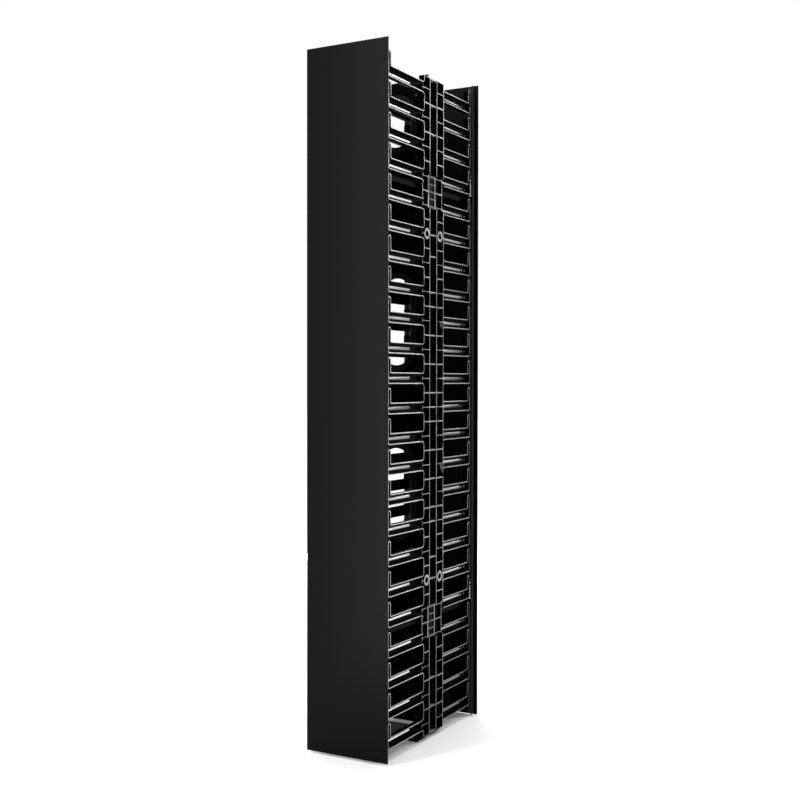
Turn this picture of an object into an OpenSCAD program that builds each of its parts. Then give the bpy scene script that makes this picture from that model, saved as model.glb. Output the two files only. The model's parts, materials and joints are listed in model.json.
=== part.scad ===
// Double-sided vertical cable manager, 45U class, with hook fingers and hinged covers.
// Frame: +X is the right-hand side, -Y the front, +Z up; origin on the floor, centred.

/* [Rack spacing] */
// Height of one rack unit
rack_unit = 44.45; // [40:0.05:50]
// Cable fingers in one column, two rack units apart
finger_count = 23; // [21:2:27]

/* [Body] */
// Width over the outer faces of the two finger walls
body_w = 241; // [215:1:300]
// Gap from the front finger tips to the front cover
front_space = 31.7; // [29:0.1:45]
// Gap from the rear finger tips to the rear cover
rear_space = 21.8; // [21:0.1:35]

/* [Fingers] */
// Length of a front finger, from its root block to its tip
front_reach = 220.5; // [180:0.5:260]
// Length of a rear finger, from its root block to its tip
rear_reach = 193; // [170:0.5:240]
// Depth of a front root block, along the wall
front_root = 40.4; // [38:0.1:50]
// Depth of a rear root block, along the wall
rear_root = 48.3; // [40:0.1:60]
// Height of a finger's beam
beam_h = 33.8; // [28:0.2:37]
// How far the hook at the tip rises above the beam
hook_rise = 43; // [30:0.5:46]
// Width of the hook
hook_w = 15.8; // [12:0.2:20]
// Thickness of a finger across the wall
finger_t = 17; // [15:0.5:20]
// Thickness of a finger's back web
web_t = 2.5; // [2:0.25:4]
// Thickness of the raised rim round a finger
rim_t = 2.8; // [2:0.1:4.5]
// Thickness of the rim where two fingers meet
seam_t = 1.6; // [1.2:0.1:3]
// Gap between two stacked fingers
seam_gap = 0.3; // [0.2:0.05:0.6]
// Fillet where a beam leaves its root block
root_fillet = 8; // [4:0.5:12]
// Larger fillet beside a rack bracket
bracket_fillet = 18; // [12:0.5:22]
// Height of the glossy bar along a beam
bar_h = 9; // [6:0.5:12]
// How far the bar stands up from the web
bar_t = 1; // [0.75:0.25:4]
// Start of the front bar, measured from the channel
front_bar_start = 106; // [70:1:140]
// Distance from the end of the rear bar to the finger tip
rear_bar_end = 48; // [30:1:80]
// How far the first and the last root block stop short of a full pitch
end_trim = 7; // [4:0.5:12]
// Outer diameter of the anchor boss on a root block
boss_d = 34; // [28:0.5:36]
// Counterbore in the anchor boss
boss_bore_d = 19; // [16:0.5:22]

/* [Posts and panel] */
// Height of the finger stack's foot above the floor
stack_foot = 9; // [7:0.5:20]
// Width of the open channel between the front and rear root blocks
channel_w = 43.3; // [36:0.1:60]
// Depth of the channel behind the finger walls
channel_d = 26; // [20:0.5:40]
// Sheet thickness of the posts
post_t = 2.5; // [2:0.1:4]
// How far a post's wing stops short of the root block's edge
wing_inset = 2; // [1:0.5:6]
// Thickness of the middle panel
panel_t = 2; // [1.5:0.1:3]
// Distance from the channel's front edge to the panel's face
panel_setback = 5.4; // [3:0.1:10]
// Width of the post's lip behind the panel
lip_w = 14; // [12:0.5:17]
// Height of the panel's lower edge above the floor
panel_foot = 45; // [30:1:70]
// Distance from the spine's top down to the panel's top edge
panel_top_drop = 8; // [5:1:60]
// Clear width of panel between a hole's edging and the post
hole_side = 6; // [2:0.5:20]
// Width of the edging's flat ring on the panel
edging_w = 16; // [8:0.5:17]
// Thickness of the edging
edging_t = 1.5; // [1:0.25:3]
// Width and height of the bead along either edge of the ring
bead = 2; // [1:0.25:3]

/* [Rack brackets] */
// How far a rack bracket's face lies behind the finger wall
bracket_recess = 6; // [4:0.5:8]
// Plate thickness of a rack bracket
bracket_t = 3; // [2.5:0.25:4]
// Diameter of the rack bolt holes
rack_hole_d = 9; // [6:0.5:12]
// Wall between two cells of the bracket
cell_wall = 4.5; // [3:0.5:6]

/* [Door arms and hinges] */
// Sheet thickness of a door arm
arm_t = 3; // [2.5:0.25:4]
// Height of a door arm
arm_h = 16; // [12:0.5:20]
// Distance from the finger wall's face in to the hinge axis
hinge_in = 4.5; // [4:0.5:8]
// Distance from the front cover's inner face to its hinge axis
front_hinge_gap = 15.5; // [13:0.5:17]
// Distance from the rear cover's inner face to its hinge axis
rear_hinge_gap = 10.5; // [10:0.25:12]
// Outer diameter of the arm's barrel
barrel_d = 11; // [10:0.25:12]
// Diameter of the hinge pin
pin_d = 6; // [5:0.1:6.5]
// Radial clearance of the hinge pin in its holes
pin_clear = 0.08; // [0.02:0.01:0.1]
// Axial gap between an arm's barrel and the lugs
lug_gap = 0.5; // [0.3:0.1:1]
// Thickness of a hinge lug
lug_t = 4; // [3:0.5:5]
// Length of the compressed pin spring, with its collar
spring_rest = 24.5; // [20:0.5:40]
// Wire diameter of the pin spring
spring_wire = 1.1; // [0.8:0.1:1.4]
// Diameter of the pull knob
knob_d = 12; // [10:0.5:13]

/* [Covers] */
// How far a cover reaches past the finger wall, on each side
cover_side = 18.5; // [17.5:0.1:40]
// Sheet thickness of a cover
cover_t = 2; // [1.5:0.1:3]
// Gap between the front cover and the floor
front_foot = 8; // [2:0.5:12]
// Gap between the rear cover and the floor
rear_foot = 2; // [2:0.5:12]
// Height of the cover above the top of the spine
cover_top = 41.3; // [20:0.1:60]
// Gap between the hinge lugs and a cover's side rail
rail_clear = 1.3; // [0.8:0.1:3]
// Sheet thickness of a side rail
rail_t = 1.5; // [1:0.1:2]
// Depth of the front cover's side rails
front_rail_d = 18; // [12:0.5:20]
// Depth of the rear cover's side rails
rear_rail_d = 14; // [10:0.5:15]
// Width of a side rail's leg on the cover
rail_leg = 22; // [16:0.5:23]
// Distance from a cover's ends to the ends of its side rails
rail_end = 1; // [0.5:0.5:40]

/* [End brackets] */
// Plate thickness of the top and base brackets
end_t = 4; // [3:0.5:6]
// How far an end bracket reaches past the posts, front and rear
end_reach = 17.7; // [8:0.1:30]
// Height of an end bracket's side flanges
end_flange_h = 40; // [30:1:60]
// Radius of the side flanges' outer corners
end_r = 12; // [6:0.5:18]
// Spacing of the floor bolts, both ways; the overhead bolts stand half as far apart in depth
anchor_pitch = 100; // [80:1:110]
// Diameter of the floor and overhead bolt holes
anchor_hole_d = 13; // [9:0.5:16]

/* [Hidden] */
$fn = 40;
fit_gap = 0.2;
// Gap between the posts' lips and the top bracket
lip_gap = 1;
pitch = 2 * rack_unit;
stack_h = finger_count * pitch;
spine_foot = stack_foot;
spine_top = spine_foot + stack_h;
mid_z = spine_foot + stack_h / 2;
wall_x = body_w / 2;
web_x = wall_x - finger_t;
wing_x = web_x - post_t;
hinge_x = wall_x - hinge_in;
lug_r = 6;
cover_w = body_w + 2 * cover_side;
rail_x = hinge_x + lug_r + rail_clear + rail_t;
channel_x = wing_x - channel_d + post_t;
hole_w = 2 * (channel_x - hole_side - edging_w);
overall_d = 2 * cover_t + front_space + front_reach + front_root + channel_w
          + rear_root + rear_reach + rear_space;
front_face = -overall_d / 2;
rear_face = overall_d / 2;
channel_y0 = front_face + cover_t + front_space + front_reach + front_root;
channel_y1 = channel_y0 + channel_w;
channel_mid = (channel_y0 + channel_y1) / 2;
panel_y = channel_y0 + panel_setback;
front_axis_y = front_face + cover_t + front_hinge_gap;
rear_axis_y = rear_face - cover_t - rear_hinge_gap;
cover_h = spine_top + cover_top - front_foot;
// Centre of finger number k, counted from the top
function finger_z(k) = spine_top - (k - 0.5) * pitch;
// The brackets sit between the fourth and fifth finger from either end
bracket_low = spine_foot + 4 * pitch;
bracket_high = spine_top - 4 * pitch;
BRACKETS = [bracket_low, bracket_high];
bracket_over = 11;
bracket_h = pitch + bracket_over;
bracket_x = wall_x - bracket_recess;
cell_pitch = rack_unit / 2;
boss_from_end = 6;
rib_over = 10;
// Pass-through holes: lower and upper ends above the middle, in rack units
HOLES = [[-9.1, -2.9], [2.9, 9.1], [18.25, 21.6]];
// Retaining clips in the channel, above the middle, in rack units
CLIPS = [1, 3, 5, 7, 8, 10.5, 12, 19, 21, 22.8];
clip_h = 4;
clip_t = 8;
// Heights at which the panel is bolted to the posts, above the middle, in rack units
PANEL_BOLTS = [1.5, 10.25, 13.5, 17.5, 21.8];
panel_bolt_d = 6;
arm_z0 = 4;
arm_bend = 6;
arm_x = wing_x - arm_t;
arm_grip = 32;
axis_to_plate_front = front_hinge_gap - rail_t;
axis_to_plate_rear = rear_hinge_gap - rail_t;
plate_t = 2;
collar_h = 3;
// A pulled pin leaves the arm's barrel and stops just short of the middle lug's top
pin_margin = 1;
pin_travel = lug_gap + arm_h + lug_t + pin_margin;
spring_room = pin_travel + spring_rest;
knob_neck = 6;
spring_turns = 7;
boss_bolt_d = 8;
head_h = 4;

steel_black = [0.07, 0.07, 0.075];
plastic_black = [0.05, 0.05, 0.055];
cover_grey = [0.16, 0.16, 0.165];
zinc = [0.72, 0.72, 0.7];

// ---------- shared shapes ----------

module rounded_rect(w, h, r) {
    square([w - 2 * r, h], center = true);
    square([w, h - 2 * r], center = true);
    for (x = [-1, 1], y = [-1, 1])
        translate([x * (w / 2 - r), y * (h / 2 - r)]) circle(r);
}

// A box between two corners
module block(low, high) {
    translate(low) cube(high - low);
}

// Extrudes a shape drawn in X and Z along +Y, from y0
module wall_extrude(y0, depth) {
    translate([0, y0 + depth, 0]) rotate([90, 0, 0]) linear_extrude(depth) children();
}

// Extrudes a shape drawn in Y and Z along +X, from x0
module side_extrude(x0, depth) {
    translate([x0, 0, 0]) rotate([90, 0, 90]) linear_extrude(depth) children();
}

// Repeats a right-hand piece on the left
module both_sides() {
    children();
    mirror([1, 0, 0]) children();
}

// A hex bolt along +X: head from x, shank towards +X
module bolt(d, length) {
    translate([-head_h, 0, 0]) rotate([0, 90, 0]) cylinder(d = 1.7 * d, h = head_h, $fn = 6);
    rotate([0, 90, 0]) cylinder(d = d, h = length);
}

// ---------- cable fingers ----------
// A finger is drawn with u running from the channel out to the tip and v up from its centre.

// Fillet in the inner corner at (u, v); su and sv point from the corner into the open window
module corner_fill(u, v, su, sv, r, t) {
    difference() {
        translate([su > 0 ? u - t : u - r, sv > 0 ? v - t : v - r]) square(r + t);
        translate([u + su * r, v + sv * r]) circle(r + t);
    }
}

// How far the root block of finger k reaches below and above the finger's centre
function root_ends(k) = [
    k == finger_count ? pitch / 2 - end_trim : pitch / 2 - seam_gap / 2,
    k == 1 ? pitch / 2 - end_trim : pitch / 2 - seam_gap / 2];

// Outline of one finger, drawn t inside its edge; low_r and high_r are the root fillets
module finger_outline(root, reach, low_r, high_r, ends, t, seam) {
    tip = root + reach;
    tip_r = beam_h / 4;
    translate([t, -ends[0] + seam]) square([root - 2 * t, ends[0] + ends[1] - 2 * seam]);
    difference() {
        translate([t, -beam_h / 2 + t]) square([tip - 2 * t, beam_h - 2 * t]);
        translate([tip - tip_r, -beam_h / 2]) square([tip_r, tip_r]);
    }
    translate([tip - tip_r, -beam_h / 2 + tip_r]) circle(tip_r - t);
    translate([tip - hook_w + t, 0])
        square([hook_w - 2 * t, beam_h / 2 + hook_rise - hook_w / 2]);
    translate([tip - hook_w / 2, beam_h / 2 + hook_rise - hook_w / 2]) circle(hook_w / 2 - t);
    corner_fill(root, beam_h / 2, 1, 1, high_r, t);
    corner_fill(root, -beam_h / 2, 1, -1, low_r, t);
    corner_fill(tip - hook_w, beam_h / 2, -1, 1, rim_t, t);
}

// Glossy bar along the beam, with round ends
module bar_outline(u0, u1) {
    translate([u0 + bar_h / 2, -bar_h / 2]) square([u1 - u0 - bar_h, bar_h]);
    for (u = [u0 + bar_h / 2, u1 - bar_h / 2]) translate([u, 0]) circle(bar_h / 2);
}

// The cells moulded into a finger, between its rim and its ribs
module front_cells(root, reach, low_r, high_r, ends) {
    difference() {
        finger_outline(root, reach, low_r, high_r, ends, rim_t, seam_t);
        translate([0, -seam_t / 2]) square([root + rib_over, seam_t]);
        translate([root + rib_over - seam_t, -beam_h / 5]) square([seam_t, 2 * beam_h / 5]);
    }
}

module rear_cells(root, reach, low_r, high_r, ends) {
    difference() {
        finger_outline(root, reach, low_r, high_r, ends, rim_t, seam_t);
        translate([0, -seam_t / 2]) square([root, seam_t]);
        translate([root - rim_t, -pitch / 2]) square([rim_t, pitch]);
    }
}

// Front finger k of the right wall, at height 0
module front_finger(k) {
    side = bracket_side(k);
    boss = has_boss(k);
    ends = root_ends(k);
    low_r = side < 0 ? bracket_fillet : root_fillet;
    high_r = root_fillet;
    tip = front_root + front_reach;
    difference() {
        union() {
            difference() {
                linear_extrude(finger_t)
                    finger_outline(front_root, front_reach, low_r, high_r, ends, 0, 0);
                translate([0, 0, web_t]) linear_extrude(finger_t)
                    front_cells(front_root, front_reach, low_r, high_r, ends);
            }
            linear_extrude(web_t + bar_t)
                bar_outline(side == 0 ? front_bar_start : front_bar_start - 9, tip - rim_t / 2);
            if (boss) translate([front_root / 2, 0, 0]) cylinder(d = boss_d, h = finger_t);
            if (k == 1) end_tab();
        }
        if (boss) boss_cut(front_root);
        bracket_relief(front_root, side);
    }
}

// Rear finger k; two moulding pips follow its bar
module rear_finger(k) {
    side = bracket_side(k);
    boss = has_boss(k);
    ends = root_ends(k);
    tip = rear_root + rear_reach;
    difference() {
        union() {
            difference() {
                linear_extrude(finger_t)
                    finger_outline(rear_root, rear_reach, root_fillet, root_fillet, ends, 0, 0);
                translate([0, 0, web_t]) linear_extrude(finger_t)
                    rear_cells(rear_root, rear_reach, root_fillet, root_fillet, ends);
            }
            linear_extrude(web_t + bar_t)
                bar_outline(rear_root - rim_t, tip - rear_bar_end);
            translate([tip - rear_bar_end / 3, 0, 0])
                cylinder(d = bar_h * 0.7, h = web_t + bar_t);
            translate([tip - rear_bar_end * 0.8, 0, 0])
                cylinder(d = bar_h * 0.7, h = web_t + bar_t);
            if (boss) translate([rear_root / 2, 0, 0]) cylinder(d = boss_d, h = finger_t);
        }
        if (boss) boss_cut(rear_root);
        bracket_relief(rear_root, side);
    }
}

// Tab that stands on the first root block, where the others reach into the next block
module end_tab() {
    translate([front_root / 6, pitch / 2 - end_trim - seam_t, web_t])
        cube([front_root / 4, end_trim + seam_t, finger_t - web_t]);
}

// Counterbore and bolt hole of an anchor boss
module boss_cut(root) {
    translate([root / 2, 0, web_t]) cylinder(d = boss_bore_d, h = finger_t);
    translate([root / 2, 0, -1]) cylinder(d = boss_bolt_d + 2 * fit_gap, h = finger_t);
}

// Lowers the rim beside a rack bracket, on the side that faces it
module bracket_relief(root, side) {
    if (side != 0)
        translate([-1, side > 0 ? pitch / 2 - bracket_h / 2 : -pitch, finger_t - bracket_recess])
            cube([root + rim_t + 1, pitch / 2 + bracket_h / 2, finger_t]);
}

// Puts a finger drawn in (u, v, thickness) on the right wall; along is -1 at the front
module on_right_wall(along, edge_y, z) {
    translate([web_x, edge_y, z])
        multmatrix([[0, 0, 1, 0], [along, 0, 0, 0], [0, 1, 0, 0], [0, 0, 0, 1]])
            children();
}

// Side of finger k on which a rack bracket lies: 1 above, -1 below, else 0
function bracket_side(k) =
    k == 4 || k == finger_count - 4 ? -1 :
    k == 5 || k == finger_count - 3 ? 1 : 0;
function has_boss(k) = k == boss_from_end || k == finger_count + 1 - boss_from_end;

// Fingers first to last of a column
module front_column(first, last) {
    for (k = [first:last]) on_right_wall(-1, channel_y0, finger_z(k)) front_finger(k);
}

module rear_column(first, last) {
    for (k = [first:last]) on_right_wall(1, channel_y1, finger_z(k)) rear_finger(k);
}

module right_front_fingers_upper() { color(plastic_black) front_column(1, 8); }
module right_front_fingers_middle() { color(plastic_black) front_column(9, finger_count - 8); }
module right_front_fingers_lower() { color(plastic_black) front_column(finger_count - 7, finger_count); }
module right_rear_fingers_upper() { color(plastic_black) rear_column(1, 8); }
module right_rear_fingers_middle() { color(plastic_black) rear_column(9, finger_count - 8); }
module right_rear_fingers_lower() { color(plastic_black) rear_column(finger_count - 7, finger_count); }
module left_front_fingers_upper() { mirror([1, 0, 0]) right_front_fingers_upper(); }
module left_front_fingers_middle() { mirror([1, 0, 0]) right_front_fingers_middle(); }
module left_front_fingers_lower() { mirror([1, 0, 0]) right_front_fingers_lower(); }
module left_rear_fingers_upper() { mirror([1, 0, 0]) right_rear_fingers_upper(); }
module left_rear_fingers_middle() { mirror([1, 0, 0]) right_rear_fingers_middle(); }
module left_rear_fingers_lower() { mirror([1, 0, 0]) right_rear_fingers_lower(); }

// ---------- posts ----------

// Hat section: two wings under the root blocks, a channel between them and a lip for the panel
module post_section() {
    front_wing = channel_y0 - front_root + wing_inset;
    rear_wing = channel_y1 + rear_root - wing_inset;
    translate([wing_x, front_wing]) square([post_t, channel_y0 + post_t - front_wing]);
    translate([wing_x, channel_y1 - post_t]) square([post_t, rear_wing - channel_y1 + post_t]);
    translate([channel_x, channel_y0]) square([channel_d, post_t]);
    translate([channel_x, channel_y1 - post_t]) square([channel_d, post_t]);
    translate([channel_x, channel_y0]) square([post_t, channel_w]);
    translate([channel_x - lip_w, panel_y + panel_t]) square([lip_w + post_t, post_t]);
}

module right_post_body() {
    difference() {
        translate([0, 0, end_t]) linear_extrude(spine_top - end_trim - end_t) post_section();
        for (z = BRACKETS) {
            for (y = arm_bolt_ys_front()) arm_bolt_hole(y, z);
            for (y = arm_bolt_ys_rear()) arm_bolt_hole(y, z);
        }
        for (z = panel_bolt_zs()) panel_bolt_hole(z);
        for (k = [boss_from_end, finger_count + 1 - boss_from_end], y = boss_ys())
            translate([wing_x - 1, y, finger_z(k)]) rotate([0, 90, 0])
                cylinder(d = boss_bolt_d + 2 * fit_gap, h = post_t + 2);
    }
}

module panel_bolt_hole(z) {
    translate([panel_bolt_x(), panel_y - 1, z]) rotate([-90, 0, 0])
        cylinder(d = panel_bolt_d + 2 * fit_gap, h = panel_t + post_t + 2);
}

module arm_bolt_hole(y, z) {
    translate([wing_x - 1, y, z + arm_z0 + arm_h / 2]) rotate([0, 90, 0])
        cylinder(d = panel_bolt_d + 2 * fit_gap, h = post_t + 2);
}

function boss_ys() = [channel_y0 - front_root / 2, channel_y1 + rear_root / 2];
function arm_bolt_ys_front() = [channel_y0 - arm_grip / 4 - 1, channel_y0 - 3 * arm_grip / 4 - 1];
function arm_bolt_ys_rear() = [channel_y1 + arm_grip / 4 + 1, channel_y1 + 3 * arm_grip / 4 + 1];
function panel_bolt_x() = channel_x - lip_w / 2;
function panel_bolt_zs() =
    [for (u = PANEL_BOLTS, s = [-1, 1]) mid_z + s * u * rack_unit];

module right_post() { color(steel_black) right_post_body(); }
module left_post() { color(steel_black) mirror([1, 0, 0]) right_post_body(); }

// ---------- middle panel ----------

// Centre height and length of each pass-through hole
function hole_spans() = [for (h = HOLES)
    [mid_z + (h[0] + h[1]) / 2 * rack_unit, (h[1] - h[0]) * rack_unit]];

// The holes' outlines, grown all round
module hole_outline(grow) {
    for (h = hole_spans()) translate([0, h[0]]) {
        square([hole_w + 2 * grow, h[1] - hole_w], center = true);
        for (s = [-1, 1]) translate([0, s * (h[1] - hole_w) / 2]) circle(hole_w / 2 + grow);
    }
}

module mid_panel() {
    half_w = channel_x;
    z0 = panel_foot;
    z1 = spine_top - panel_top_drop;
    color(steel_black) difference() {
        block([-half_w, panel_y, z0], [half_w, panel_y + panel_t, z1]);
        wall_extrude(panel_y - 1, panel_t + 2) hole_outline(0);
        both_sides() for (z = panel_bolt_zs()) panel_bolt_hole(z);
    }
}

// Ring between two growths of the holes
module hole_ring(outer, inner) {
    difference() {
        hole_outline(outer);
        hole_outline(inner);
    }
}

// Edging of each hole: a sleeve through the panel, a flat ring on its front with a bead
// along either edge, and a narrow strip on its back
module hole_edgings() {
    front = panel_y - edging_t;
    color(plastic_black) {
        wall_extrude(front, edging_t) hole_ring(edging_w, -edging_t);
        wall_extrude(front - bead, bead) hole_ring(edging_w, edging_w - bead);
        wall_extrude(front - bead, bead) hole_ring(bead - edging_t, -edging_t);
        wall_extrude(front, panel_t + 2 * edging_t) hole_ring(0, -edging_t);
        wall_extrude(panel_y + panel_t, edging_t) hole_ring(bead, -edging_t);
    }
}

module panel_bolts() {
    color(zinc) both_sides() for (z = panel_bolt_zs())
        translate([panel_bolt_x(), panel_y, z]) rotate([0, 0, 90])
            bolt(panel_bolt_d, panel_t + post_t + 6);
}

// ---------- end brackets ----------

// Side flange with rounded outer corners, one half in front of the channel, one behind
module end_flange_outline() {
    y0 = channel_y0 - front_root - end_reach;
    y1 = channel_y1 + rear_root + end_reach;
    difference() {
        translate([(y0 + y1) / 2, end_flange_h / 2 + end_r / 2])
            rounded_rect(y1 - y0, end_flange_h + end_r, end_r);
        translate([y0 - 1, end_flange_h]) square([y1 - y0 + 2, 2 * end_r]);
        translate([channel_y0 - fit_gap, -1]) square([channel_w + 2 * fit_gap, end_flange_h + 2]);
    }
}

module end_bracket_body() {
    y0 = channel_y0 - front_root - end_reach + end_r;
    y1 = channel_y1 + rear_root + end_reach - end_r;
    difference() {
        union() {
            block([-wing_x, y0, 0], [wing_x, y1, end_t]);
            both_sides() side_extrude(wing_x - arm_t, arm_t) end_flange_outline();
        }
        for (x = [-1, 1], y = [-1, 1])
            translate([x * anchor_pitch / 2, channel_mid + y * anchor_pitch / 2, -end_t])
                cylinder(d = anchor_hole_d, h = 3 * end_t);
    }
}

module base_bracket() {
    color(steel_black) end_bracket_body();
}

// The top bracket is a plate behind the panel with two flanges inside the rear wings
module top_bracket() {
    y0 = panel_y + panel_t + post_t + lip_gap;
    y1 = channel_y1 + rear_root + end_reach;
    z0 = spine_top - end_flange_h - end_t;
    color(steel_black) difference() {
        union() {
            block([-channel_x + fit_gap, y0, z0], [channel_x - fit_gap, y1 - end_r, z0 + end_t]);
            block([-wing_x, channel_y1 + fit_gap, z0], [wing_x, y1 - end_r, z0 + end_t]);
            both_sides() translate([0, 0, z0]) side_extrude(wing_x - arm_t, arm_t)
                intersection() {
                    end_flange_outline();
                    translate([channel_y1, 0]) square([y1, end_flange_h]);
                }
        }
        for (x = [-1, 1], y = [-1, 1])
            translate([x * anchor_pitch / 2, top_anchor_y() + y * anchor_pitch / 4, z0 - 1])
                cylinder(d = anchor_hole_d, h = end_t + 2);
    }
}

function top_anchor_y() = panel_y + panel_t + post_t + lip_gap + anchor_pitch / 2;

// ---------- rack brackets ----------

// Channel-shaped bracket with four cells; the outer two take the rack bolts
module right_rack_bracket_body(z) {
    inner = channel_w - 2 * post_t - 2 * fit_gap;
    rim = channel_w - 2 * fit_gap;
    cell_w = rim - 2 * cell_wall;
    cell_h = cell_pitch - cell_wall;
    translate([0, channel_mid, z]) difference() {
        union() {
            block([bracket_x - bracket_t - 3, -rim / 2, -bracket_h / 2],
                  [bracket_x, rim / 2, bracket_h / 2]);
            for (s = [-1, 1]) translate([0, s * (inner - bracket_t) / 2, 0])
                block([channel_x + post_t, -bracket_t / 2, -bracket_h / 2],
                      [bracket_x - 3, bracket_t / 2, bracket_h / 2]);
        }
        for (i = [-1.5:1:1.5]) translate([bracket_x - 3, 0, i * cell_pitch])
            side_extrude(0, bracket_t + 1) rounded_rect(cell_w, cell_h, 3);
        for (i = [-1.5, 1.5]) translate([bracket_x - bracket_t - 4, 0, i * cell_pitch])
            rotate([0, 90, 0]) cylinder(d = rack_hole_d, h = bracket_t + 5);
    }
}

module right_rack_brackets() {
    color(steel_black) for (z = BRACKETS) right_rack_bracket_body(z);
}

module left_rack_brackets() { mirror([1, 0, 0]) right_rack_brackets(); }

// ---------- clips in the channel ----------

function clip_zs() = concat([mid_z], [for (u = CLIPS, s = [-1, 1]) mid_z + s * u * rack_unit]);

// A spring clip spans the channel between the root blocks and stands on the channel's floor
module right_channel_clips() {
    inner = channel_w - 2 * post_t - 2 * fit_gap;
    color(steel_black) for (z = clip_zs()) {
        block([wall_x - clip_t - 2, channel_y0 + fit_gap, z - clip_h / 2],
              [wall_x - 2, channel_y1 - fit_gap, z + clip_h / 2]);
        for (s = [-1, 1]) translate([0, channel_mid + s * (inner - post_t) / 2, z])
            block([channel_x + post_t, -post_t / 2, -clip_h / 2],
                  [wall_x - clip_t - 2, post_t / 2, clip_h / 2]);
    }
}

module left_channel_clips() { mirror([1, 0, 0]) right_channel_clips(); }

// ---------- anchor bolts in the bosses ----------

module anchor_bolts() {
    color(zinc) both_sides()
        for (k = [boss_from_end, finger_count + 1 - boss_from_end], y = boss_ys())
            translate([web_x + web_t, y, finger_z(k)]) mirror([1, 0, 0])
                bolt(boss_bolt_d, web_t + post_t + 6);
}

// ---------- door arms ----------

// Plan of an arm: a strip inside the wall, a bend and a barrel on the hinge axis.
// along is -1 for the front; root_y is its fixed end and axis_y the hinge axis.
module arm_plan(along, root_y, axis_y) {
    leg_y = axis_y - along * (barrel_d / 2 - arm_t);
    bend_y = leg_y - along * arm_bend;
    bend_x = arm_x + arm_bend;
    strip = abs(bend_y - root_y);
    difference() {
        union() {
            translate([arm_x, min(root_y, bend_y)]) square([arm_t, strip]);
            difference() {
                translate([bend_x, bend_y]) circle(arm_bend);
                translate([bend_x, bend_y]) circle(arm_bend - arm_t);
                translate([bend_x, bend_y - 2 * arm_bend]) square(4 * arm_bend);
                translate([arm_x - 1, along > 0 ? bend_y - 2 * arm_bend : bend_y])
                    square(2 * arm_bend);
            }
            translate([bend_x, along > 0 ? leg_y - arm_t : leg_y])
                square([hinge_x - bend_x, arm_t]);
            translate([hinge_x, axis_y]) circle(d = barrel_d);
        }
        translate([hinge_x, axis_y]) circle(d = pin_d + 2 * pin_clear);
    }
}

module door_arms(along, root_y, axis_y, bolt_ys) {
    both_sides() for (z = BRACKETS) difference() {
        translate([0, 0, z + arm_z0]) linear_extrude(arm_h) arm_plan(along, root_y, axis_y);
        for (y = bolt_ys) translate([arm_x - 1, y, z + arm_z0 + arm_h / 2])
            rotate([0, 90, 0]) cylinder(d = panel_bolt_d + 2 * fit_gap, h = arm_t + 2);
    }
}

module front_door_arms() {
    color(steel_black) door_arms(-1, channel_y0 - fit_gap, front_axis_y, arm_bolt_ys_front());
}

module rear_door_arms() {
    color(steel_black) door_arms(1, channel_y1 + fit_gap, rear_axis_y, arm_bolt_ys_rear());
}

module arm_bolts() {
    color(zinc) both_sides() for (z = BRACKETS)
        for (y = concat(arm_bolt_ys_front(), arm_bolt_ys_rear()))
            translate([arm_x, y, z + arm_z0 + arm_h / 2]) bolt(panel_bolt_d, arm_t + post_t - fit_gap);
}

// ---------- magnetic catches ----------

catch_w = 13;
catch_l = 46;
catch_gap = 0.3;
strike_t = 1.5;

// A magnet in its case on the inner side of an arm, close to the strike on the cover
module catch_block(face_y, along, z) {
    back_y = face_y - along * catch_l;
    block([arm_x - catch_w, min(face_y, back_y), z + arm_z0],
          [arm_x, max(face_y, back_y), z + arm_z0 + arm_h]);
}

module front_catches() {
    face_y = front_face + cover_t + strike_t + catch_gap;
    color(zinc) for (z = BRACKETS) catch_block(face_y, -1, z);
}

module rear_catches() {
    face_y = rear_face - cover_t - strike_t - catch_gap;
    color(zinc) mirror([1, 0, 0]) for (z = BRACKETS) catch_block(face_y, 1, z);
}

module strike(y0, z) {
    block([arm_x - catch_w - 2, y0, z + arm_z0 - 3], [arm_x + 0.5, y0 + strike_t, z + arm_z0 + arm_h + 3]);
}

module front_strikes() {
    color(zinc) for (z = BRACKETS) strike(front_face + cover_t, z);
}

module rear_strikes() {
    color(zinc) mirror([1, 0, 0]) for (z = BRACKETS)
        strike(rear_face - cover_t - strike_t, z);
}

// ---------- covers ----------

module cover_sheet(y0, foot) {
    translate([0, 0, foot + cover_h / 2])
        wall_extrude(y0, cover_t) rounded_rect(cover_w, cover_h, 1.5);
}

// Side rails of a cover: a leg on the sheet and a flange that stands up from it
module side_rails(along, y_skin, depth, foot) {
    z0 = foot + rail_end;
    z1 = foot + cover_h - rail_end;
    y_flange = y_skin - along * depth;
    y_leg = y_skin - along * rail_t;
    both_sides() {
        block([rail_x - rail_t, min(y_skin, y_flange), z0], [rail_x, max(y_skin, y_flange), z1]);
        block([rail_x - rail_leg, min(y_skin, y_leg), z0], [rail_x, max(y_skin, y_leg), z1]);
    }
}

module front_cover() { color(cover_grey) cover_sheet(front_face, front_foot); }
module rear_cover() { color(cover_grey) cover_sheet(rear_face - cover_t, rear_foot); }

module front_cover_rails() {
    color(steel_black) side_rails(-1, front_face + cover_t, front_rail_d, front_foot);
}

module rear_cover_rails() {
    color(steel_black) side_rails(1, rear_face - cover_t, rear_rail_d, rear_foot);
}

// ---------- hinge lugs ----------

function barrel_z0(z) = z + arm_z0;
function barrel_z1(z) = z + arm_z0 + arm_h;

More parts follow.
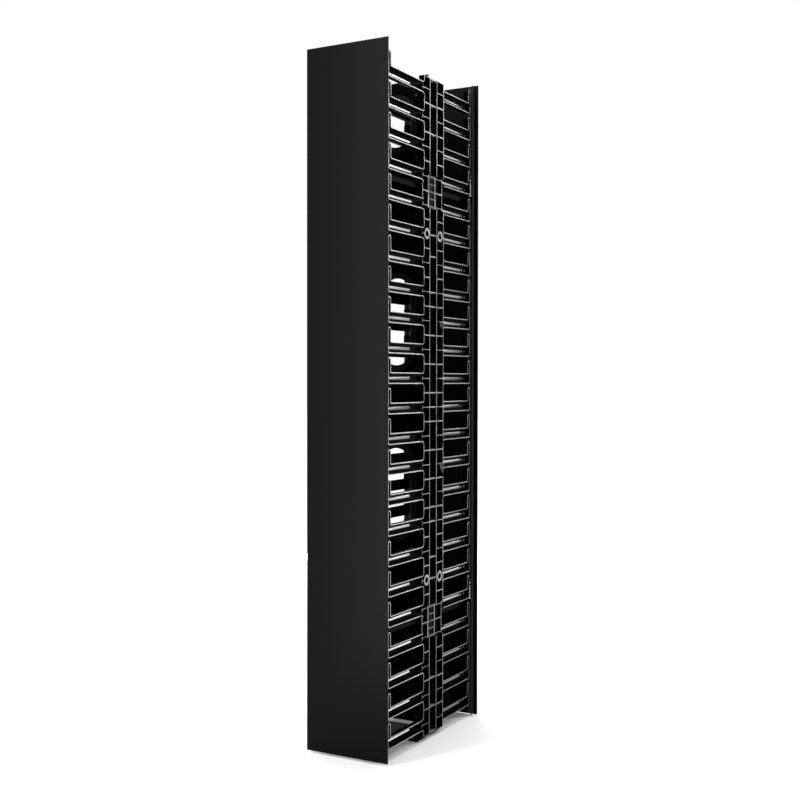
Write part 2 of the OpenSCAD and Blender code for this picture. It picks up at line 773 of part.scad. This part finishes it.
// Lower, middle and upper lug on one plate; plate_gap is the axis to plate distance
module hinge_lug_set(along, axis_y, plate_gap, z) {
    plate_y = axis_y + along * plate_gap;
    z0 = barrel_z0(z) - lug_gap - lug_t;
    z2 = barrel_z1(z) + lug_gap + lug_t + spring_room;
    difference() {
        union() {
            block([hinge_x - lug_r, min(plate_y, plate_y - along * plate_t), z0],
                  [hinge_x + lug_r, max(plate_y, plate_y - along * plate_t), z2 + lug_t]);
            for (lug_z = [z0, barrel_z1(z) + lug_gap, z2]) translate([0, 0, lug_z])
                linear_extrude(lug_t) {
                    translate([hinge_x, axis_y]) circle(lug_r);
                    translate([hinge_x - lug_r, min(axis_y, plate_y)])
                        square([2 * lug_r, plate_gap]);
                }
        }
        translate([hinge_x, axis_y, z0 - 1])
            cylinder(d = pin_d + 2 * pin_clear, h = z2 - z0 + lug_t + 2);
    }
}

module front_hinge_lugs() {
    color(steel_black) both_sides() for (z = BRACKETS)
        hinge_lug_set(-1, front_axis_y, axis_to_plate_front, z);
}

module rear_hinge_lugs() {
    color(steel_black) both_sides() for (z = BRACKETS)
        hinge_lug_set(1, rear_axis_y, axis_to_plate_rear, z);
}

// ---------- release pins ----------

collar_d = 2 * lug_r - 2;

// A pin through the lugs and the arm's barrel, with the collar that its spring bears on
module release_pin(x, y, z) {
    foot = barrel_z0(z) - lug_gap - lug_t + fit_gap;
    collar_z = barrel_z1(z) + lug_gap + lug_t;
    top = collar_z + spring_room + lug_t + knob_neck;
    translate([x, y, foot]) cylinder(d = pin_d, h = top - foot);
    translate([x, y, collar_z + fit_gap]) cylinder(d = collar_d, h = collar_h);
}

// A turned knob screwed on the pin's upper end
module pull_knob(x, y, z) {
    seat = barrel_z1(z) + lug_gap + 2 * lug_t + spring_room + knob_neck;
    translate([x, y, seat]) rotate_extrude() {
        difference() {
            translate([0, knob_d / 2]) circle(d = knob_d);
            translate([-knob_d, -1]) square([knob_d, knob_d + 2]);
            translate([-1, -1]) square([knob_d, 1 + 1.5]);
            translate([-1, knob_d - 1.5]) square([knob_d, 3]);
        }
        square([pin_d / 2 + 1.5, 2]);
    }
}

// Centre line of the coil spring, from the collar up to the upper lug
function spring_point(a, h, r) = [r * cos(a), r * sin(a), h * a / (360 * spring_turns)];

module pin_spring(x, y, z) {
    sides = 6;
    per_turn = 14;
    rings = spring_turns * per_turn;
    r = pin_d / 2 + 0.4 + spring_wire / 2;
    low = barrel_z1(z) + lug_gap + lug_t + fit_gap + collar_h + spring_wire / 2 + 0.1;
    h = spring_room - fit_gap - collar_h - spring_wire - 0.2;
    points = [for (i = [0:rings], j = [0:sides - 1])
        let (a = i * 360 / per_turn, b = j * 360 / sides, q = r + spring_wire / 2 * cos(b))
        [q * cos(a), q * sin(a), h * i / rings + spring_wire / 2 * sin(b)]];
    walls = [for (i = [0:rings - 1], j = [0:sides - 1])
        let (k = (j + 1) % sides)
        [i * sides + j, (i + 1) * sides + j, (i + 1) * sides + k, i * sides + k]];
    caps = [[for (j = [0:sides - 1]) j], [for (j = [sides - 1:-1:0]) rings * sides + j]];
    translate([x, y, low]) polyhedron(points, concat(walls, caps));
}

module front_upper_pin() { color(zinc) release_pin(-hinge_x, front_axis_y, bracket_high); }
module front_lower_pin() { color(zinc) release_pin(-hinge_x, front_axis_y, bracket_low); }
module rear_upper_pin() { color(zinc) release_pin(hinge_x, rear_axis_y, bracket_high); }
module rear_lower_pin() { color(zinc) release_pin(hinge_x, rear_axis_y, bracket_low); }
module front_upper_knob() { color(plastic_black) pull_knob(-hinge_x, front_axis_y, bracket_high); }
module front_lower_knob() { color(plastic_black) pull_knob(-hinge_x, front_axis_y, bracket_low); }
module rear_upper_knob() { color(plastic_black) pull_knob(hinge_x, rear_axis_y, bracket_high); }
module rear_lower_knob() { color(plastic_black) pull_knob(hinge_x, rear_axis_y, bracket_low); }
module front_upper_spring() { color(zinc) pin_spring(-hinge_x, front_axis_y, bracket_high); }
module front_lower_spring() { color(zinc) pin_spring(-hinge_x, front_axis_y, bracket_low); }
module rear_upper_spring() { color(zinc) pin_spring(hinge_x, rear_axis_y, bracket_high); }
module rear_lower_spring() { color(zinc) pin_spring(hinge_x, rear_axis_y, bracket_low); }

left_post();
right_post();
mid_panel();
hole_edgings();
panel_bolts();
base_bracket();
top_bracket();
left_rack_brackets();
right_rack_brackets();
left_channel_clips();
right_channel_clips();
right_front_fingers_upper();
right_front_fingers_middle();
right_front_fingers_lower();
right_rear_fingers_upper();
right_rear_fingers_middle();
right_rear_fingers_lower();
left_front_fingers_upper();
left_front_fingers_middle();
left_front_fingers_lower();
left_rear_fingers_upper();
left_rear_fingers_middle();
left_rear_fingers_lower();
anchor_bolts();
front_door_arms();
rear_door_arms();
arm_bolts();
front_catches();
rear_catches();
front_cover();
front_cover_rails();
front_hinge_lugs();
front_strikes();
rear_cover();
rear_cover_rails();
rear_hinge_lugs();
rear_strikes();
front_upper_pin();
front_upper_knob();
front_upper_spring();
front_lower_pin();
front_lower_knob();
front_lower_spring();
rear_upper_pin();
rear_upper_knob();
rear_upper_spring();
rear_lower_pin();
rear_lower_knob();
rear_lower_spring();
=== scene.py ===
# %% [markdown]
# # A vertical cable manager
# This tall column stands between two server racks. Patch cables leave the racks, pass between
# the moulded hook fingers and run up or down the two troughs. A hinged cover closes each
# trough, and a steel spine between them carries everything.
#
# The solids were made to size in CAD. This lesson gives them their finishes, softens the edges
# of the fingers, gives each spring its own mesh, and sets up the floor, the lamps and the camera.

# %% Load the solids
import json
import math

import bpy
from mathutils import Matrix, Vector


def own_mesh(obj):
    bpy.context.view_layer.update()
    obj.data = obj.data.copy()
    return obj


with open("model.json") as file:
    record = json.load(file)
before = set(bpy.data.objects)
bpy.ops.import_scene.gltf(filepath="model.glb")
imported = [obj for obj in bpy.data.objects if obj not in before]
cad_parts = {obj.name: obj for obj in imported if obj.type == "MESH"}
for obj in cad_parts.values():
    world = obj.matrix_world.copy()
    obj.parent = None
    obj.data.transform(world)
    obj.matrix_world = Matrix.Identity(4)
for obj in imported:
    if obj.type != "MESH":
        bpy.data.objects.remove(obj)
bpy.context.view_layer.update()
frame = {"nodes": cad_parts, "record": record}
nodes = frame["nodes"]
print(len(nodes), "pieces of the manager are loaded")

# %% [markdown]
# ## Colours and nodes
# A colour picked on a screen is in sRGB, but Blender's shaders add light linearly, so one
# function turns a hex value into linear numbers. A second one adds a shader node, fills in its
# settings and joins its inputs, which keeps each finish short enough to read in one go.


# %% Two small helpers
def srgb(text):
    """A hex colour as the linear red, green, blue and alpha that a shader wants."""
    values = [int(text[i:i + 2], 16) / 255 for i in (0, 2, 4)]
    return tuple(v / 12.92 if v <= 0.04045 else ((v + 0.055) / 1.055) ** 2.4
                 for v in values) + (1.0,)


def add(tree, kind, links=(), **settings):
    """Adds one node; settings name its own attributes or its sockets, and links fill sockets."""
    node = tree.nodes.new(kind)
    for name, value in settings.items():
        if hasattr(node, name):
            setattr(node, name, value)
        else:
            node.inputs[name.replace("_", " ")].default_value = value
    for socket, source in dict(links).items():
        tree.links.new(source, node.inputs[socket])
    return node


print("mid grey is", tuple(round(v, 3) for v in srgb("808080")))

# %% [markdown]
# ## A start for every finish
# Each finish is one Principled BSDF. A new material already has that node, so the helper only
# fills in its sockets. Values that are the same all over a surface go straight on the sockets,
# because an exported model keeps them only there.


# %% Start a finish
def finish(name, colour, **sockets):
    """A new material with a Principled BSDF, its colour and any other sockets."""
    material = bpy.data.materials.new(name)
    material.use_nodes = True
    shader = material.node_tree.nodes["Principled BSDF"]
    shader.inputs["Base Color"].default_value = srgb(colour)
    for socket, value in sockets.items():
        shader.inputs[socket.replace("_", " ")].default_value = value
    return material, material.node_tree, shader


# %% [markdown]
# ## Powder coat
# The sheet steel is sprayed with powder and baked. The powder melts into a skin with a fine
# orange peel about a millimetre across, which spreads reflections out, so the sheet looks satin.
# The lumps could be modelled, but they are far smaller than any edge, so noise at their size is
# used as a bump and gives the same soft sheen. The covers have a charcoal coat. The spine, the
# brackets and the door arms have a black one, sprayed thinner and duller because it lies out of
# sight between the racks.

# %% Powder coats
PEEL_DEPTH = 0.0002


def powder_coat(name, colour, roughness, specular, lumps_per_metre, strength):
    """A satin coat whose orange peel is a bump of noise."""
    material, tree, shader = finish(name, colour, Roughness=roughness,
                                    Specular_IOR_Level=specular)
    place = add(tree, "ShaderNodeTexCoord")
    peel = add(tree, "ShaderNodeTexNoise", {"Vector": place.outputs["Object"]},
               Scale=lumps_per_metre, Detail=2.0)
    bump = add(tree, "ShaderNodeBump", {"Height": peel.outputs["Fac"]}, Strength=strength,
               Distance=PEEL_DEPTH)
    tree.links.new(bump.outputs["Normal"], shader.inputs["Normal"])
    return material


cover_coat = powder_coat("charcoal powder coat", "090909", 0.33, 0.04, 700.0, 0.08)
spine_coat = powder_coat("black powder coat", "050506", 0.5, 0.01, 900.0, 0.05)
print("powder coats ready")

# %% [markdown]
# ## Asking a surface where it is
# A finger is one moulding with several finishes. Materials could be set face by face, but the
# faces come from CAD and would need it again after every change. So the material works out which
# part of the piece it is on: the Texture Coordinate node gives the place of a point in metres
# and the direction that the surface faces. A few sums turn those into masks, 1 on a part and 0
# off it.


# %% Mask helpers
def number(tree, operation, *values):
    """One sum in a material; each value is a number or the output of another node."""
    node = tree.nodes.new("ShaderNodeMath")
    node.operation = operation
    for socket, value in zip(node.inputs, values):
        if isinstance(value, (int, float)):
            socket.default_value = value
        else:
            tree.links.new(value, socket)
    return node.outputs[0]


def parts_of(tree, output):
    """The X, Y and Z of a point or of the direction that the surface faces."""
    place = add(tree, "ShaderNodeTexCoord")
    split = add(tree, "ShaderNodeSeparateXYZ", {"Vector": place.outputs[output]})
    return split.outputs["X"], split.outputs["Y"], split.outputs["Z"]


def outer_faces(tree, out_from, least=0.8):
    """A mask for faces that look sideways and lie further out than a distance."""
    x, _, _ = parts_of(tree, "Object")
    facing, _, _ = parts_of(tree, "Normal")
    sideways = number(tree, "GREATER_THAN", number(tree, "ABSOLUTE", facing), least)
    far_out = number(tree, "GREATER_THAN", number(tree, "ABSOLUTE", x), out_from)
    return number(tree, "MULTIPLY", sideways, far_out)


def paint(tree, base, layers):
    """Colours laid over a base one, each where its mask is 1."""
    under, over, result = 6, 7, 2  # the colour sockets of a Mix node
    last = None
    for mask, colour in layers:
        mix = add(tree, "ShaderNodeMix", {"Factor": mask}, data_type="RGBA")
        mix.inputs[under].default_value = srgb(base)
        mix.inputs[over].default_value = srgb(colour)
        if last:
            tree.links.new(last, mix.inputs[under])
        last = mix.outputs[result]
    return last


print("masks can ask for a place and a direction")

# %% [markdown]
# ## Moulded plastic with two finishes
# A finger is injection moulded in black ABS. The mould is spark eroded, so the web and the side
# walls of the cells come out matt and deep black. Only the narrow tops of the rims and ribs, and
# the bar along each beam, come from polished steel and are glossier. Their colour is a painted
# highlight: the rims are painted light grey where light would draw thin bright lines, and their
# rounded upper and lower edges, which turn to the lamps, are painted near white. From the front
# root blocks to the back the painted highlight on the rims is darker, so they show as thin grey
# lines.

# %% Fingers: matt cells, polished rims with painted highlights
RIM_FROM = 0.1125
ROOT_AT = -0.075
SLOPE_FROM, EDGE_FACING = 0.25, 0.3
matt = "030304"
finger_plastic, tree, shader = finish("moulded black plastic", matt, Roughness=0.6,
                                      Specular_IOR_Level=0.01)
rim = outer_faces(tree, RIM_FROM)
_, _, upward = parts_of(tree, "Normal")
sloped = number(tree, "GREATER_THAN", number(tree, "ABSOLUTE", upward), SLOPE_FROM)
# Painted highlight: the sloped upper and lower edges of a rim, painted near white.
rim_edge_highlight = number(tree, "MULTIPLY", outer_faces(tree, RIM_FROM, EDGE_FACING), sloped)
_, depth, _ = parts_of(tree, "Object")
past_root = number(tree, "GREATER_THAN", depth, ROOT_AT)
# Behind the front root blocks the painted highlight on the rims is a darker grey.
rear_rim_highlight = number(tree, "MULTIPLY", rim, past_root)
rear_edge_highlight = number(tree, "MULTIPLY", rim_edge_highlight, past_root)
print("rims start", RIM_FROM * 1000, "mm from the middle")

# %% [markdown]
# ## The bars
# The bar on each beam is only a millimetre proud of the web. It is polished along a band that
# is widest at half height and narrows towards the ends of the column, and the band carries a
# painted reflection: dark grey at half height, painted whiter towards the ends of the column,
# and a darker grey at the ends behind the front root blocks.
# Fingers are two rack units apart, so the remainder of the height tells how far a point is from
# the middle of its bar. One sum serves all fingers, where a mask for each would need 92.

# %% Bars along the beams
BAR_FROM, BAR_TO = 0.1064, 0.1076
COLUMN_FOOT, FINGER_PITCH, HALF_HEIGHT = 0.009, 0.0889, 1.05
HALF_BAND, BAND_TILT, BAND_NARROWS = 0.0045, 0.003, 0.0015
x, _, z = parts_of(tree, "Object")
from_foot = number(tree, "SUBTRACT", z, COLUMN_FOOT)
from_middle = number(tree, "SUBTRACT", number(tree, "MODULO", from_foot, FINGER_PITCH),
                     FINGER_PITCH / 2)
height = number(tree, "SUBTRACT", z, HALF_HEIGHT)
to_ends = number(tree, "ABSOLUTE", height)
from_band = number(tree, "ABSOLUTE", number(tree, "ADD", from_middle,
                                            number(tree, "MULTIPLY", height, BAND_TILT)))
half_band = number(tree, "SUBTRACT", HALF_BAND,
                   number(tree, "MULTIPLY", BAND_NARROWS, to_ends))
in_band = number(tree, "LESS_THAN", from_band, half_band)
below_rim = number(tree, "LESS_THAN", number(tree, "ABSOLUTE", x), BAR_TO)
bar = number(tree, "MULTIPLY", in_band,
             number(tree, "MULTIPLY", below_rim, outer_faces(tree, BAR_FROM)))
# The bar's painted reflection turns white towards the ends of the column, and darker grey behind
# the front root blocks.
bar_end_reflection = number(tree, "MULTIPLY", bar, to_ends)
rear_bar_end_reflection = number(tree, "MULTIPLY", bar_end_reflection, past_root)
# Painted highlights and reflections: grey bands on the bars, white at the column's ends, light
# grey rims, near white rim edges, and darker greys behind the front root blocks.
layers = ((bar, "161617"), (bar_end_reflection, "ffffff"), (rear_bar_end_reflection, "505051"), (rim, "8a8a8b"),
          (rim_edge_highlight, "f6f6f6"), (rear_rim_highlight, "565657"), (rear_edge_highlight, "9c9c9c"))
tree.links.new(paint(tree, matt, layers), shader.inputs["Base Color"])
polished = number(tree, "MAXIMUM", rim, bar)
for socket, dull, shiny in (("Roughness", 0.6, 0.22), ("Specular IOR Level", 0.01, 0.4)):
    ramp = add(tree, "ShaderNodeMapRange", {"Value": polished}, To_Min=dull, To_Max=shiny)
    tree.links.new(ramp.outputs["Result"], shader.inputs[socket])
print("bars lie", BAR_FROM * 1000, "to", BAR_TO * 1000, "mm from the middle")

# %% [markdown]
# ## Rack brackets, clips and rails
# The rack brackets are cast black. The edges between their cells are painted grey, a painted
# highlight like the one on the rims, so they use the same mask as a rim: faces that look sideways
# and lie far out. The clips across the channel are grey plastic tongues between the root blocks.
# The rails inside the covers only have a grey primer, because a shut door hides most of them.

# %% Brackets with painted edge highlights, clips and rails
BRACKET_FACE_FROM = 0.1135
bracket_black, tree, shader = finish("cast black bracket", "040405", Roughness=0.5,
                                     Specular_IOR_Level=0.02)
# Painted highlight: the outer faces of the bracket cells are painted grey.
bracket_edge_highlight = outer_faces(tree, BRACKET_FACE_FROM)
tree.links.new(paint(tree, "040405", ((bracket_edge_highlight, "565657"),)), shader.inputs["Base Color"])


def plain(name, colour, **sockets):
    """A finish that is the same all over a piece."""
    return finish(name, colour, **sockets)[0]


clip_plastic = plain("grey moulded clip", "646465", Roughness=0.4, Specular_IOR_Level=0.3)
rail_coat = plain("grey primed rail", "2a2a2b", Roughness=0.5, Specular_IOR_Level=0.1)
print("bracket, clip and rail finishes ready")

# %% [markdown]
# ## Small hardware
# Pins, strike plates and the bolts of the bosses are zinc plated: a pale, slightly blurred metal.
# The bolts of the panel and of the arms are black zinc. The springs are bare drawn wire. The
# knobs, the edging and the magnet cases are plain black plastic. All are too small to show any
# grain, so each is only a colour, a roughness and, for metal, the metallic value.

# %% Zinc, wire and plain plastic
zinc = plain("zinc plated steel", "b9bab6", Metallic=1.0, Roughness=0.34)
black_zinc = plain("black zinc plated steel", "2c2c2d", Metallic=1.0, Roughness=0.4)
wire = plain("drawn spring steel", "9c9d9e", Metallic=1.0, Roughness=0.25)
edging = plain("extruded soft plastic", "0c0c0d", Roughness=0.4, Specular_IOR_Level=0.12)
knob_black = plain("turned black plastic", "101011", Roughness=0.3, Specular_IOR_Level=0.5)
print("hardware finishes ready")

# %% [markdown]
# ## Which piece gets which finish
# The CAD gives every piece a material slot, and each slot has its finish. A few pieces differ
# from the rest of their slot, so they are picked out by a word in their name.

# %% Put the finishes on
FINISHES = {
    "cover_steel": cover_coat, "frame_steel": spine_coat, "post_steel": spine_coat,
    "panel_steel": spine_coat, "bracket_steel": spine_coat, "arm_steel": spine_coat,
    "finger_plastic": finger_plastic, "edging_plastic": edging, "zinc_hardware": zinc,
    "magnet_case": knob_black, "spring_steel": wire, "knob_plastic": knob_black,
}
BY_NAME = {"panel_bolts": black_zinc, "arm_bolts": black_zinc, "cover_rails": rail_coat,
           "rack_brackets": bracket_black, "channel_clips": clip_plastic}
slot_of = {part["node"]: part["material_slot"] for part in frame["record"]["subparts"]}
for name, piece in nodes.items():
    piece.data.materials.clear()
    special = [finish_of for word, finish_of in BY_NAME.items() if word in name]
    piece.data.materials.append(special[0] if special else FINISHES[slot_of[name]])
print("finishes on", len(nodes), "pieces")

# %% [markdown]
# ## Soft edges
# A moulded rim is never perfectly sharp: the mould gives it a small radius. It could be drawn in
# CAD, but on 92 fingers that makes heavy solids, so modifiers do it here and leave the solids'
# own mesh alone. The loaded solids are split along their sharp edges, so a Weld modifier joins
# them there, and a Decimate modifier dissolves the triangles of a flat face into one face. A
# Bevel modifier then rounds the edges, and its hardened normals keep the flat faces flat. At the
# full width, faces would cross at the tightest corners, so Clamp Overlap is on. It holds all of a
# piece to what its tightest corner leaves room for: about 0.05 mm on the upper and lower
# stretches of fingers, and 0.2 to 0.3 mm on the middle ones. The covers are cut sheet and stay
# sharp, which also keeps their broad faces even.

# %% Bevel the fingers
WIDEST_ROUND = 0.0009
SAME_CORNER = 0.00001
SAME_PLANE = math.radians(0.5)
SHARP_FROM = math.radians(50)


def soften(piece):
    """Rounds a moulding's sharp edges, by WIDEST_ROUND at most."""
    weld = piece.modifiers.new("joined corners", "WELD")
    weld.merge_threshold = SAME_CORNER
    flat = piece.modifiers.new("whole flat faces", "DECIMATE")
    flat.decimate_type = "DISSOLVE"
    flat.angle_limit = SAME_PLANE
    bevel = piece.modifiers.new("edge radius", "BEVEL")
    bevel.width = WIDEST_ROUND
    bevel.segments = 2
    bevel.limit_method = "ANGLE"
    bevel.angle_limit = SHARP_FROM
    bevel.harden_normals = True
    bevel.use_clamp_overlap = True
    piece.data.shade_smooth()


mouldings = [piece for name, piece in nodes.items() if "fingers" in name]
for piece in mouldings:
    soften(piece)
print("edges rounded on", len(mouldings), "stretches of fingers")

# %% [markdown]
# ## The springs
# A coil spring sits between each release pin's collar and the upper lug of its hinge. Pulling
# the knob lifts the collar, and the coils close up towards the lug. Here each spring only gets
# its own copy of its mesh.

# %% Give each spring its own mesh
for end in ("front", "rear"):
    for level in ("upper", "lower"):
        spring = nodes[f"{end}_{level}_spring"]
        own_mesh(spring)

# %% [markdown]
# ## Floor and surroundings
# The manager stands on a plain white floor in a white room. The lamps light the floor near the
# object, so it keeps the soft shadow at the foot. Further out, where the lamps fade, the paint
# glows a little to stay as white as the room. The world is white wherever the room itself is
# seen, straight, mirrored or through something, and darker for light that reaches the object,
# so that black stays black.

# %% Rays that show the background
def background_ray(tree):
    """1 for a ray that shows the white room itself, seen straight, mirrored or through."""
    path = add(tree, "ShaderNodeLightPath")
    seen_or_mirrored = number(tree, "MAXIMUM", path.outputs["Is Camera Ray"],
                              path.outputs["Is Glossy Ray"])
    return number(tree, "MAXIMUM", seen_or_mirrored, path.outputs["Is Transmission Ray"])


# %% Floor
GLOW_STARTS, GLOW_FULL, FAR_GLOW = 0.8, 4.0, 0.6
bpy.ops.mesh.primitive_plane_add(size=60, location=(0, 0, 0))
floor = bpy.context.object
floor.name = "white floor"
floor_paint, tree, shader = finish("white floor", "ffffff", Roughness=0.9,
                                   Specular_IOR_Level=0.0)
place = add(tree, "ShaderNodeTexCoord")
away = add(tree, "ShaderNodeVectorMath", {0: place.outputs["Object"]}, operation="LENGTH")
glow = add(tree, "ShaderNodeMapRange", {"Value": away.outputs["Value"]}, From_Min=GLOW_STARTS,
           From_Max=GLOW_FULL, To_Min=0.0, To_Max=FAR_GLOW)
shader.inputs["Emission Color"].default_value = (1, 1, 1, 1)
tree.links.new(number(tree, "MULTIPLY", background_ray(tree), glow.outputs["Result"]),
               shader.inputs["Emission Strength"])
floor.data.materials.append(floor_paint)
print("floor", floor.dimensions[0], "m wide")

# %% World
world = bpy.data.worlds.new("white room")
bpy.context.scene.world = world
world.use_nodes = True
tree = world.node_tree
tree.nodes.clear()
seen = add(tree, "ShaderNodeBackground", Color=(1, 1, 1, 1), Strength=1.0)
lighting = add(tree, "ShaderNodeBackground", Color=(1, 1, 1, 1), Strength=0.62)
mixed = add(tree, "ShaderNodeMixShader", {0: background_ray(tree),
                                          1: lighting.outputs[0], 2: seen.outputs[0]})
add(tree, "ShaderNodeOutputWorld", {"Surface": mixed.outputs[0]})
print("world set")

# %% [markdown]
# ## Lamps
# Area lamps stand in for the softboxes of a product studio. A tall strip light in front on the
# left gives the front cover its slow gradient. Two more strip lights and two softboxes stand
# behind the object, a pair on each side, and their reflections run along the rims of the
# fingers. One softbox hangs overhead and lights the floor and the tops of the beams.

# %% Softboxes
def softbox(name, place, aim, width, height, power):
    """An area lamp of a real size that faces a point."""
    lamp = bpy.data.lights.new(name, "AREA")
    lamp.shape = "RECTANGLE"
    lamp.size, lamp.size_y = width, height
    lamp.energy = power
    box = bpy.data.objects.new(name, lamp)
    bpy.context.scene.collection.objects.link(box)
    box.location = place
    box.visible_camera = False
    box.rotation_euler = (Vector(aim) - Vector(place)).to_track_quat("-Z", "Y").to_euler()
    return box


softbox("front strip light", (-0.42, -1.4, 1.5), (0, -0.3, 1.5), 0.3, 3.0, 26)
softbox("right softbox", (2.0, 3.7, 3.1), (0, 0, 1.1), 1.8, 1.0, 45)
softbox("left softbox", (-2.0, 3.7, 3.1), (0, 0, 1.1), 1.8, 1.0, 45)
softbox("right strip light", (2.4, 3.1, 1.2), (0, 0, 1.2), 0.4, 3.2, 75)
softbox("left strip light", (-2.4, 3.1, 1.2), (0, 0, 1.2), 0.4, 3.2, 75)
softbox("overhead softbox", (0, 0, 4.6), (0, 0, 0), 2.0, 2.0, 110)
print("three strip lights and three softboxes")

# %% [markdown]
# ## Camera
# The camera stands a little above half height, front right, with a 52 mm lens. From there the
# front cover, the right wall of fingers and the inside of the rear cover all show. It could be
# aimed with a constraint, but a heading, a dip and a roll say exactly how it is held.

# %% Camera
EYE = Vector((1.7807, -3.1891, 1.1056))
HEADING, DOWN, ROLL = (math.radians(angle) for angle in (119.03, 0.834, 0.064))
FOCAL_LENGTH, SENSOR_WIDTH = 52.19, 36
lens = bpy.data.cameras.new("camera")
lens.lens = FOCAL_LENGTH
lens.sensor_width = SENSOR_WIDTH
camera = bpy.data.objects.new("camera", lens)
bpy.context.scene.collection.objects.link(camera)
look = Vector((math.cos(HEADING) * math.cos(DOWN), math.sin(HEADING) * math.cos(DOWN),
               -math.sin(DOWN)))
turn = look.to_track_quat("-Z", "Y").to_matrix().to_4x4()
camera.matrix_world = Matrix.Translation(EYE) @ turn @ Matrix.Rotation(ROLL, 4, "Z")
bpy.context.scene.camera = camera
bpy.context.scene.view_settings.view_transform = "Standard"
print("camera at", tuple(round(v, 3) for v in EYE))
